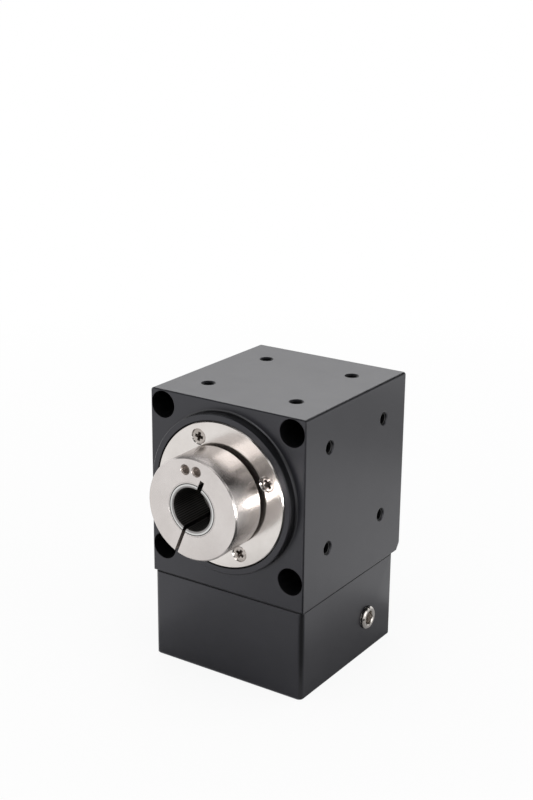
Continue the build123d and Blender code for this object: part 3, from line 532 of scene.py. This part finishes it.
def wedgeBar(name, length, width, low, high, taper):
    # one arm of a cross recess, narrower at its foot
    work = bmesh.new()
    rows = []
    for s, z in ((taper, low), (1, high)):
        x, y = length / 2 * s, width / 2 * (0.6 if s < 1 else 1)
        rows.append([work.verts.new(p) for p in ((-x, -y, z), (x, -y, z), (x, y, z), (-x, y, z))])
    work.faces.new(rows[0][::-1])
    work.faces.new(rows[1])
    for k in range(4):
        after = (k + 1) % 4
        work.faces.new((rows[0][k], rows[0][after], rows[1][after], rows[1][k]))
    mesh = bpy.data.meshes.new(name)
    work.to_mesh(mesh)
    work.free()
    return newObject(name, mesh)


def addSocket(tree, name, kind, value=None):
    socket = tree.interface.new_socket(name=name, in_out="INPUT", socket_type=kind)
    if value is not None:
        socket.default_value = value
    return socket.identifier


def makeRowTree():
    # stands one piece on every point, turned to the row's direction and by a seeded turn of its own
    tree = bpy.data.node_groups.new("rowOfPieces", "GeometryNodeTree")
    ids = {
        "Places": addSocket(tree, "Places", "NodeSocketGeometry"),
        "Piece": addSocket(tree, "Piece", "NodeSocketObject"),
        "Facing": addSocket(tree, "Facing", "NodeSocketVector"),
        "Turn": addSocket(tree, "Turn", "NodeSocketFloat", 1.0),
        "Seed": addSocket(tree, "Seed", "NodeSocketInt", 1),
        "Finish": addSocket(tree, "Finish", "NodeSocketMaterial"),
        "Recess": addSocket(tree, "Recess", "NodeSocketMaterial"),
    }
    tree.interface.new_socket(name="Geometry", in_out="OUTPUT", socket_type="NodeSocketGeometry")
    given = put(tree, "NodeGroupInput", (-700, 0))
    piece = put(tree, "GeometryNodeObjectInfo", (-480, -160))
    spin = put(tree, "FunctionNodeRandomValue", (-480, -380), {"data_type": "FLOAT"})
    turn = put(tree, "ShaderNodeCombineXYZ", (-280, -380))
    stand = put(tree, "GeometryNodeInstanceOnPoints", (-60, 0))
    face = put(tree, "GeometryNodeRotateInstances", (140, 0))
    real = put(tree, "GeometryNodeRealizeInstances", (340, 0))
    # the faces of the recess keep their painted shade
    inRecessShade = put(tree, "GeometryNodeMaterialSelection", (140, -300))
    outside = put(tree, "FunctionNodeBooleanMath", (340, -300), {"operation": "NOT"})
    paint = put(tree, "GeometryNodeSetMaterial", (520, 0))
    out = put(tree, "NodeGroupOutput", (700, 0))
    join(tree, given.outputs["Recess"], inRecessShade.inputs["Material"])
    join(tree, inRecessShade.outputs["Selection"], outside.inputs[0])
    join(tree, outside.outputs["Boolean"], paint.inputs["Selection"])
    join(tree, given.outputs["Places"], stand.inputs["Points"])
    join(tree, given.outputs["Piece"], piece.inputs["Object"])
    join(tree, piece.outputs["Geometry"], stand.inputs["Instance"])
    join(tree, given.outputs["Turn"], next(i for i in spin.inputs if i.name == "Max" and i.enabled))
    join(tree, given.outputs["Seed"], spin.inputs["Seed"])
    join(tree, next(o for o in spin.outputs if o.enabled), turn.inputs["Z"])
    join(tree, given.outputs["Facing"], stand.inputs["Rotation"])
    join(tree, stand.outputs["Instances"], face.inputs["Instances"])
    join(tree, turn.outputs["Vector"], face.inputs["Rotation"])
    face.inputs["Local Space"].default_value = True
    join(tree, face.outputs["Instances"], real.inputs["Geometry"])
    join(tree, real.outputs["Geometry"], paint.inputs["Geometry"])
    join(tree, given.outputs["Finish"], paint.inputs["Material"])
    join(tree, paint.outputs["Geometry"], out.inputs["Geometry"])
    return tree, ids


rowTree, rowIds = makeRowTree()


def rowOfPieces(name, piece, places, facing, finish, turn=6.28, seed=3):
    mesh = bpy.data.meshes.new(name)
    mesh.from_pydata([Vector(p) for p in places], [], [])
    row = newObject(name, mesh)
    step = row.modifiers.new("row", "NODES")
    step.node_group = rowTree
    step[rowIds["Piece"]] = piece
    step[rowIds["Facing"]] = facing
    step[rowIds["Turn"]] = turn
    step[rowIds["Seed"]] = seed
    step[rowIds["Finish"]] = finishes[finish]
    step[rowIds["Recess"]] = finishes["recessSteel"]
    plainMesh(row, name)
    bpy.data.objects.remove(piece)
    return row


def makeCoilTree():
    # one thread in a hole, as a ridge swept along a helix
    tree = bpy.data.node_groups.new("threadCoil", "GeometryNodeTree")
    ids = {
        "Radius": addSocket(tree, "Radius", "NodeSocketFloat", 0.002),
        "Pitch": addSocket(tree, "Pitch", "NodeSocketFloat", 0.0008),
        "Turns": addSocket(tree, "Turns", "NodeSocketFloat", 8.0),
        "Ridge": addSocket(tree, "Ridge", "NodeSocketFloat", 0.0003),
        "Finish": addSocket(tree, "Finish", "NodeSocketMaterial"),
    }
    tree.interface.new_socket(name="Geometry", in_out="OUTPUT", socket_type="NodeSocketGeometry")
    given = put(tree, "NodeGroupInput", (-700, 0))
    height = put(tree, "ShaderNodeMath", (-480, -200), {"operation": "MULTIPLY"})
    helix = put(tree, "GeometryNodeCurveSpiral", (-260, 0), Resolution=28)
    ridge = put(tree, "GeometryNodeCurvePrimitiveCircle", (-260, -260), Resolution=4)
    sweep = put(tree, "GeometryNodeCurveToMesh", (0, 0))
    paint = put(tree, "GeometryNodeSetMaterial", (200, 0))
    real = put(tree, "GeometryNodeRealizeInstances", (380, 0))
    out = put(tree, "NodeGroupOutput", (560, 0))
    join(tree, given.outputs["Pitch"], height.inputs[0])
    join(tree, given.outputs["Turns"], height.inputs[1])
    join(tree, given.outputs["Turns"], helix.inputs["Rotations"])
    join(tree, given.outputs["Radius"], helix.inputs["Start Radius"])
    join(tree, given.outputs["Radius"], helix.inputs["End Radius"])
    join(tree, height.outputs["Value"], helix.inputs["Height"])
    join(tree, given.outputs["Ridge"], ridge.inputs["Radius"])
    join(tree, helix.outputs["Curve"], sweep.inputs["Curve"])
    join(tree, ridge.outputs["Curve"], sweep.inputs["Profile Curve"])
    sweep.inputs["Fill Caps"].default_value = True
    join(tree, sweep.outputs["Mesh"], real.inputs["Geometry"])
    join(tree, real.outputs["Geometry"], paint.inputs["Geometry"])
    join(tree, given.outputs["Finish"], paint.inputs["Material"])
    join(tree, paint.outputs["Geometry"], out.inputs["Geometry"])
    return tree, ids


coilTree, coilIds = makeCoilTree()


def threadCoil(name, radius, pitch, turns, ridge, finish):
    coil = newObject(name, bpy.data.meshes.new(name))
    step = coil.modifiers.new("coil", "NODES")
    step.node_group = coilTree
    for key, value in (("Radius", radius), ("Pitch", pitch), ("Turns", turns), ("Ridge", ridge)):
        step[coilIds[key]] = value
    step[coilIds["Finish"]] = finishes[finish]
    return plainMesh(coil, name)


def square(pitch):
    return [(x * pitch / 2, y * pitch / 2) for x in (-1, 1) for y in (-1, 1)]


def circlePlaces(radius, count, first):
    return [(radius * cos(radians(first + 360 * k / count)), radius * sin(radians(first + 360 * k / count)))
            for k in range(count)]


tappedSizes = {
    "pitch": 34.5, "offset": 1.65, "motorPitch": 49.5,
    "radius": 2.1, "thread": 0.8, "ridge": 0.26, "turns": 9, "start": 0.29,
}


def makeTappedThreads():
    size = tappedSizes
    low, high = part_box("gearbox_housing")
    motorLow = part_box("motor_adapter")[0].z
    faces = []
    for a, b in square(size["pitch"]):
        along = (size["offset"] + b) * mm
        faces.append(((a * mm, along, high.z), (pi, 0, 0), "top"))
        faces.append(((high.x, along, a * mm), (0, -pi / 2, 0), "right"))
        faces.append(((low.x, along, a * mm), (0, pi / 2, 0), "left"))
    for a, b in square(size["motorPitch"]):
        faces.append(((a * mm, b * mm, motorLow), (0, 0, 0), "motor"))
    groups = {}
    for place, turn, side in faces:
        groups.setdefault(side, []).append((place, turn))
    for side, items in groups.items():
        coil = threadCoil("coil", size["radius"] * mm, size["thread"] * mm, size["turns"], size["ridge"] * mm,
                          "threadAnodise")
        inward = Matrix.Rotation(items[0][1][0], 3, "X") @ Matrix.Rotation(items[0][1][1], 3, "Y")
        start = inward @ Vector((0, 0, size["start"] * mm))
        places = [Vector(place) + start for place, turn in items]
        row = rowOfPieces(side + "Threads", coil, places, items[0][1], "threadAnodise", 0.0)
        row.data.shade_smooth()
        row.data.set_sharp_from_angle(angle=radians(50))
        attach(row, "case")


makeTappedThreads()
print("threads of the tapped holes made")


def copyOfNode(nodeName, name):
    # the node's own mesh with its loose triangles merged
    work = bmesh.new()
    work.from_mesh(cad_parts[nodeName].data)
    bmesh.ops.remove_doubles(work, verts=work.verts, dist=1e-6)
    mesh = bpy.data.meshes.new(name)
    work.to_mesh(mesh)
    work.free()
    mesh.materials.append(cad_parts[nodeName].material_slots[0].material)
    return newObject(name, mesh)


def shadeByAngle(made, angle=30):
    if "custom_normal" in made.data.attributes:
        made.data.attributes.remove(made.data.attributes["custom_normal"])
    made.data.shade_smooth()
    made.data.set_sharp_from_angle(angle=radians(angle))


collarSizes = {
    "gap": 1.05,   # mm taken off behind, where the shaft's neck shows
    "spotCircle": 13.05, "spotAngles": (82, 101), "spotMouth": 1.8, "spotSink": 0.52,
    "past": 2.0,   # how far the cutter behind reaches past the collar
    "over": 0.2,   # how far a mouth's cutter stands out of the face
}


def makeCollar():
    size = collarSizes
    low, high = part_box("output_collar")
    collar = copyOfNode("output_collar", "outputCollar")
    toAxis = Matrix.Rotation(pi / 2, 4, "X")
    past, reach = size["past"] * mm, high.x + size["past"] * mm
    behind = turnedPiece("behind", [(0, -past), (reach, -past), (reach, past), (0, past)], 64)
    behind.data.transform(Matrix.Translation((0, high.y + past - size["gap"] * mm, 0)) @ toAxis)
    cutters = [behind]
    mouthRadius, sink, over = (size[k] * mm for k in ("spotMouth", "spotSink", "over"))
    for angle in size["spotAngles"]:
        mouth = turnedPiece("mouth", [
            (0, -sink), (mouthRadius - sink, -sink), (mouthRadius + over, over), (0, over)], 40)
        across, up = size["spotCircle"] * cos(radians(angle)), size["spotCircle"] * sin(radians(angle))
        mouth.data.transform(Matrix.Translation((across * mm, low.y, up * mm)) @ toAxis)
        cutters.append(mouth)
    cutAway(collar, *cutters)
    shadeByAngle(collar)
    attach(collar, "output_rotor")
    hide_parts("output_collar")


makeCollar()
print("output collar made")


adapterSizes = {"half": 29.7, "edge": 1.8, "groove": 0.5, "past": 1.0}


def roundedLoop(half, radius, steps=6):
    places = []
    for corner in range(4):
        middle = half - radius
        signX, signY = ((1, 1), (-1, 1), (-1, -1), (1, -1))[corner]
        for k in range(steps + 1):
            angle = pi / 2 * (corner + k / steps)
            places.append((signX * middle + radius * cos(angle), signY * middle + radius * sin(angle)))
    return places


def makeAdapter():
    # the node with the fine groove that shows as the dark line under the housing
    size = {k: v * mm for k, v in adapterSizes.items()}
    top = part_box("motor_adapter")[1].z
    adapter = copyOfNode("motor_adapter", "motorAdapter")
    half, edge, groove, past = (size[k] for k in ("half", "edge", "groove", "past"))
    inside = roundedLoop(half - groove, edge - groove)
    outside = roundedLoop(half + past, edge + past)
    sections = ((inside, top - groove), (outside, top - groove), (outside, top + past), (inside, top + past))
    work = bmesh.new()
    rows = [[work.verts.new((x, y, z)) for x, y in loop] for loop, z in sections]
    count = len(inside)
    for a, b in ((0, 1), (1, 2), (2, 3), (3, 0)):
        for k in range(count):
            after = (k + 1) % count
            work.faces.new((rows[a][k], rows[a][after], rows[b][after], rows[b][k]))
    bmesh.ops.recalc_face_normals(work, faces=work.faces)
    mesh = bpy.data.meshes.new("groove")
    work.to_mesh(mesh)
    work.free()
    cutAway(adapter, newObject("groove", mesh))
    shadeByAngle(adapter)
    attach(adapter, "case")
    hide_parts("motor_adapter")


makeAdapter()
print("motor adapter made")


plateScrewSizes = {
    "head": 2.5, "shank": 1.45, "length": 6.1, "edge": 0.12, "rim": 0.1, "rimEnd": 0.22, "soft": 0.05,
    "recess": 3.3, "arm": 1.1, "core": 1.9, "deep": 1.7, "over": 0.2,
    "circle": 20.0, "angle": 23.5, "sink": 0.28,
}


def makePlateScrews():
    size = {k: v * mm for k, v in plateScrewSizes.items()}
    head, shank, rim = size["head"], size["shank"], size["rim"]
    screw = turnedPiece("plateScrew", [
        (0, 0), (head - size["edge"], 0), (head, -rim), (head, -size["rimEnd"]),
        (shank, shank - head - rim), (shank, -size["length"]), (0, -size["length"])], 56)
    arms = []
    for k in range(2):
        arm = wedgeBar("arm", size["recess"], size["arm"], -size["deep"], size["over"], 0.35)
        arm.data.transform(Matrix.Rotation(k * pi / 2, 4, "Z"))
        # the recess cutters carry the painted shade into the screw
        arm.data.materials.append(finishes["recessSteel"])
        arms.append(arm)
    core = prism("core", 4, size["core"], -size["deep"] * 1.05, size["over"], 0.3)
    core.data.materials.append(finishes["recessSteel"])
    screw.data.materials.append(finishes["plateScrewNickel"])
    cutAway(screw, *arms, core)
    softEdges(screw, size["soft"], 30)
    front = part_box("output_flange_plate")[0].y
    places = [(x, front + size["sink"], z)
              for x, z in circlePlaces(size["circle"], 4, plateScrewSizes["angle"])]
    row = rowOfPieces("plateScrews", screw, places, (pi / 2, 0, 0), "plateScrewNickel", 1.4, 5)
    row.data.set_sharp_from_angle(angle=radians(30))
    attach(row, "output_rotor")
    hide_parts("flange_plate_screws")


makePlateScrews()
print("plate screws made")


plugSizes = {
    "radius": 4.0, "length": 9.0, "chamfer": 0.5, "pitch": 1.25, "groove": 0.42, "soft": 0.06,
    "socket": 4.5, "socketDepth": 4.0, "mouth": 0.4, "over": 0.05, "turn": 20,
}


def makePlug():
    size = {k: v * mm for k, v in plugSizes.items()}
    radius, chamfer, pitch, end, mouthDeep, over = (
        size[k] for k in ("radius", "chamfer", "pitch", "length", "mouth", "over"))
    outline = [(0, 0), (radius - chamfer, 0)]
    z = chamfer
    while z + pitch < end - chamfer:
        outline += [(radius, z), (radius, z + 0.2 * pitch), (radius - size["groove"], z + 0.6 * pitch)]
        z += pitch
    outline += [(radius, z), (radius, end - chamfer), (radius - chamfer, end), (0, end)]
    plug = turnedPiece("accessPlug", outline, 64)
    hexagon = prism("hexagon", 6, size["socket"], end - size["socketDepth"], end + mouthDeep)
    mouth = turnedPiece("mouth", [
        (0, end - mouthDeep), (size["socket"] / 2, end - mouthDeep),
        (size["socket"] / 2 + mouthDeep * 1.2, end + over), (0, end + over)], 64)
    plug.data.materials.append(finishes["screwNickel"])
    hexagon.data.materials.append(finishes["screwNickel"])
    cutAway(plug, hexagon, mouth)
    softEdges(plug, size["soft"], 30)
    low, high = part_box("access_plug")
    place = Matrix.Translation((low.x, (low.y + high.y) / 2, (low.z + high.z) / 2))
    turn = Matrix.Rotation(radians(plugSizes["turn"]), 4, "Z")
    plug.data.transform(place @ Matrix.Rotation(pi / 2, 4, "Y") @ turn)
    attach(plug, "case")
    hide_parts("access_plug")


makePlug()
print("plug made")


capScrewSizes = {
    # head radius, head height, shank radius, length, socket across flats, in mm
    "cover": (2.25, 2.5, 1.25, 8.0, 2.0),
    "adapter": (3.5, 4.0, 2.0, 16.0, 3.0),
}


capHeadSizes = {"edge": 0.05, "mouth": 0.25, "flare": 0.3, "over": 0.05, "soft": 0.05}


def makeCapScrew(kind):
    head, height, shank, length, socket = (v * mm for v in capScrewSizes[kind])
    edge, mouthDeep, flare, over, soft = (v * mm for v in capHeadSizes.values())
    roundOver = 0.12 * head
    screw = turnedPiece(kind + "Screw", [
        (0, -length), (shank, -length), (shank, 0), (head * 0.98, 0), (head, edge),
        (head, height - roundOver), (head - roundOver * 0.3, height - roundOver * 0.3),
        (head - roundOver, height), (0, height)], 48)
    hexagon = prism("hexagon", 6, socket, height / 2, height + flare)
    mouth = turnedPiece("mouth", [
        (0, height - mouthDeep), (socket / 2, height - mouthDeep), (socket / 2 + flare, height + over),
        (0, height + over)], 48)
    cutAway(screw, hexagon, mouth)
    return softEdges(screw, soft, 30)


def makeCapScrews():
    coverLow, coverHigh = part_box("rear_cover_screws")
    reach = coverHigh.x - capScrewSizes["cover"][0] * mm
    seat = coverHigh.y - capScrewSizes["cover"][1] * mm
    places = [(x * reach, seat, z * reach) for x in (-1, 1) for z in (-1, 1)]
    row = rowOfPieces("coverScrews", makeCapScrew("cover"), places, (-pi / 2, 0, 0), "screwOxide", 6.28, 2)
    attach(row, "case")
    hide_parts("rear_cover_screws")
    low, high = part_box("adapter_screws")
    reachX, reachY = high.x - capScrewSizes["adapter"][0] * mm, high.y - capScrewSizes["adapter"][0] * mm
    seat = low.z + capScrewSizes["adapter"][1] * mm
    places = [(x * reachX, y * reachY, seat) for x in (-1, 1) for y in (-1, 1)]
    row = rowOfPieces("adapterScrews", makeCapScrew("adapter"), places, (pi, 0, 0), "screwOxide", 6.28, 7)
    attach(row, "case")
    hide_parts("adapter_screws")


makeCapScrews()
print("cap screws made")


cardSizes = {
    # name: (middle in mm, the way it faces, turn in degrees, width, height, tone)
    "ceilingCard": ((0, 60, 470), (0, 0, -1), 0, 1700, 720, 0.02),
    "edgeCard": ((165, 420, 255), (0, -1, 0), 0, 390, 310, 0.02),
    "frontCard": ((275, -430, 172), (-0.53, 0.79, 0), 0, 460, 140, 0.06),
    "highCard": ((273, -325, 424), (-0.45, 0.54, -0.71), 0, 420, 250, 0.04),
    "nearCard": ((0, -49, -66), (0, 0, 1), 0, 84, 38, 0.6),
    "lowCard": ((-12, -98, -66), (0, 0, 1), 0, 70, 60, 0.75),
    "sideCard": ((43, 10, -66), (0, 0, 1), 0, 28, 80, 0.5),
    "farCard": ((150, 235, -66), (0, 0, 1), 0, 110, 110, 0.4),
    "cornerCard": ((170, -122, -66), (0, 0, 1), -34, 310, 110, 0.02),
    "bossCard": ((56, -228, -66), (0, 0, 1), 0, 110, 100, 0.02),
}


def makeCards():
    # cards that only gloss sees: they give the black edges, the boss and the collar their dark bands as
    # painted dark reflections, and the grey ones on the floor paint a reflection of shade near the object
    for name, (middle, facing, angle, width, height, tone) in cardSizes.items():
        material, tree, out = newMaterial(name)
        coords = put(tree, "ShaderNodeTexCoord", (-900, 0))
        fibre = noise(tree, (-700, 0), coords.outputs["Object"], 300, 3)
        diffuse = put(tree, "ShaderNodeBsdfDiffuse", (-200, 0))
        join(tree, ramp(tree, (-500, 0), (0.2, (tone * 0.9,) * 3), (0.8, (tone * 1.1,) * 3), fibre),
             diffuse.inputs["Color"])
        join(tree, diffuse.outputs["BSDF"], out.inputs["Surface"])
        turn = Vector(facing).to_track_quat("Z", "Y").to_matrix() @ Matrix.Rotation(radians(angle), 3, "Z")
        corners = [Vector(middle) + turn @ Vector((a * width / 2, b * height / 2, 0))
                   for a, b in ((-1, -1), (1, -1), (1, 1), (-1, 1))]
        mesh = bpy.data.meshes.new(name)
        mesh.from_pydata([c * mm for c in corners], [], [(0, 1, 2, 3)])
        mesh.materials.append(material)
        card = newObject(name, mesh)
        card.visible_camera = card.visible_diffuse = card.visible_shadow = False
        card.visible_transmission = card.visible_volume_scatter = False


groundSizes = {"half": 12000, "under": 0.05, "near": 90, "far": 480, "nearShare": 0.9, "glow": 1.0}


def makeGround():
    # white paper: seen white by the camera, the gloss and glass, and it keeps the shadow near the object
    size = groundSizes
    material, tree, out = newMaterial("paper")
    coords = put(tree, "ShaderNodeTexCoord", (-1100, 0))
    fibre = noise(tree, (-700, 0), coords.outputs["Object"], 900, 3)
    tone = ramp(tree, (-500, 0), (0.2, (0.82, 0.82, 0.82)), (0.8, (0.86, 0.86, 0.86)), fibre)
    diffuse = put(tree, "ShaderNodeBsdfDiffuse", (-200, 0))
    join(tree, tone, diffuse.inputs["Color"])
    glow = put(tree, "ShaderNodeEmission", (-200, -200), Strength=size["glow"])
    path = put(tree, "ShaderNodeLightPath", (-900, 400))
    reach = put(tree, "ShaderNodeVectorMath", (-900, 160), {"operation": "LENGTH"})
    join(tree, coords.outputs["Object"], reach.inputs[0])
    fade = spread(tree, (-700, 160), reach.outputs["Value"], (size["near"] * mm, size["far"] * mm),
                  (size["nearShare"], 1))
    gloss = put(tree, "ShaderNodeMath", (-600, 400), {"operation": "MAXIMUM"})
    join(tree, path.outputs["Is Glossy Ray"], gloss.inputs[0])
    join(tree, path.outputs["Is Transmission Ray"], gloss.inputs[1])
    seen = put(tree, "ShaderNodeMath", (-420, 400), {"operation": "MAXIMUM"})
    join(tree, path.outputs["Is Camera Ray"], seen.inputs[0])
    join(tree, gloss.outputs["Value"], seen.inputs[1])
    share = put(tree, "ShaderNodeMath", (-200, 400), {"operation": "MULTIPLY"})
    join(tree, seen.outputs["Value"], share.inputs[0])
    join(tree, fade, share.inputs[1])
    mix = put(tree, "ShaderNodeMixShader", (200, 0))
    join(tree, share.outputs["Value"], mix.inputs["Fac"])
    join(tree, diffuse.outputs["BSDF"], mix.inputs[1])
    join(tree, glow.outputs["Emission"], mix.inputs[2])
    # from underneath the paper is clear, so that the object's lower side shows
    clear = put(tree, "ShaderNodeBsdfTransparent", (200, -200))
    under = put(tree, "ShaderNodeNewGeometry", (200, 300))
    side = put(tree, "ShaderNodeMixShader", (500, 0))
    join(tree, under.outputs["Backfacing"], side.inputs["Fac"])
    join(tree, mix.outputs["Shader"], side.inputs[1])
    join(tree, clear.outputs["BSDF"], side.inputs[2])
    join(tree, side.outputs["Shader"], out.inputs["Surface"])
    mesh = bpy.data.meshes.new("ground")
    half, low = size["half"] * mm, cadLow.z - size["under"] * mm
    corners = [(x * half, y * half, low) for x, y in ((-1, -1), (1, -1), (1, 1), (-1, 1))]
    mesh.from_pydata(corners, [], [(0, 1, 2, 3)])
    mesh.materials.append(material)
    ground = newObject("ground", mesh)


worldSizes = {"soft": 0.55, "seen": 1.0}


def makeWorld():
    world = bpy.data.worlds.new("studio")
    world.use_nodes = True
    bpy.context.scene.world = world
    tree = world.node_tree
    tree.nodes.clear()
    out = put(tree, "ShaderNodeOutputWorld", (600, 0))
    path = put(tree, "ShaderNodeLightPath", (-500, 300))
    bright = put(tree, "ShaderNodeMath", (-380, 300), {"operation": "MAXIMUM"})
    join(tree, path.outputs["Is Glossy Ray"], bright.inputs[0])
    join(tree, path.outputs["Is Transmission Ray"], bright.inputs[1])
    seen = put(tree, "ShaderNodeMath", (-200, 300), {"operation": "MAXIMUM"})
    join(tree, path.outputs["Is Camera Ray"], seen.inputs[0])
    join(tree, bright.outputs["Value"], seen.inputs[1])
    soft = put(tree, "ShaderNodeBackground", (0, 0), Color=(1, 1, 1, 1), Strength=worldSizes["soft"])
    white = put(tree, "ShaderNodeBackground", (0, -160), Color=(1, 1, 1, 1), Strength=worldSizes["seen"])
    mix = put(tree, "ShaderNodeMixShader", (300, 0))
    join(tree, seen.outputs["Value"], mix.inputs["Fac"])
    join(tree, soft.outputs["Background"], mix.inputs[1])
    join(tree, white.outputs["Background"], mix.inputs[2])
    join(tree, mix.outputs["Shader"], out.inputs["Surface"])


makeCamera()
makeLamps()
glintOnNickel("lowStrip", bpy.data.objects["outputCollar"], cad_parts["output_flange_plate"])
makeGround()
makeCards()
makeWorld()
bpy.context.scene.view_settings.view_transform = "Standard"
print("studio made")
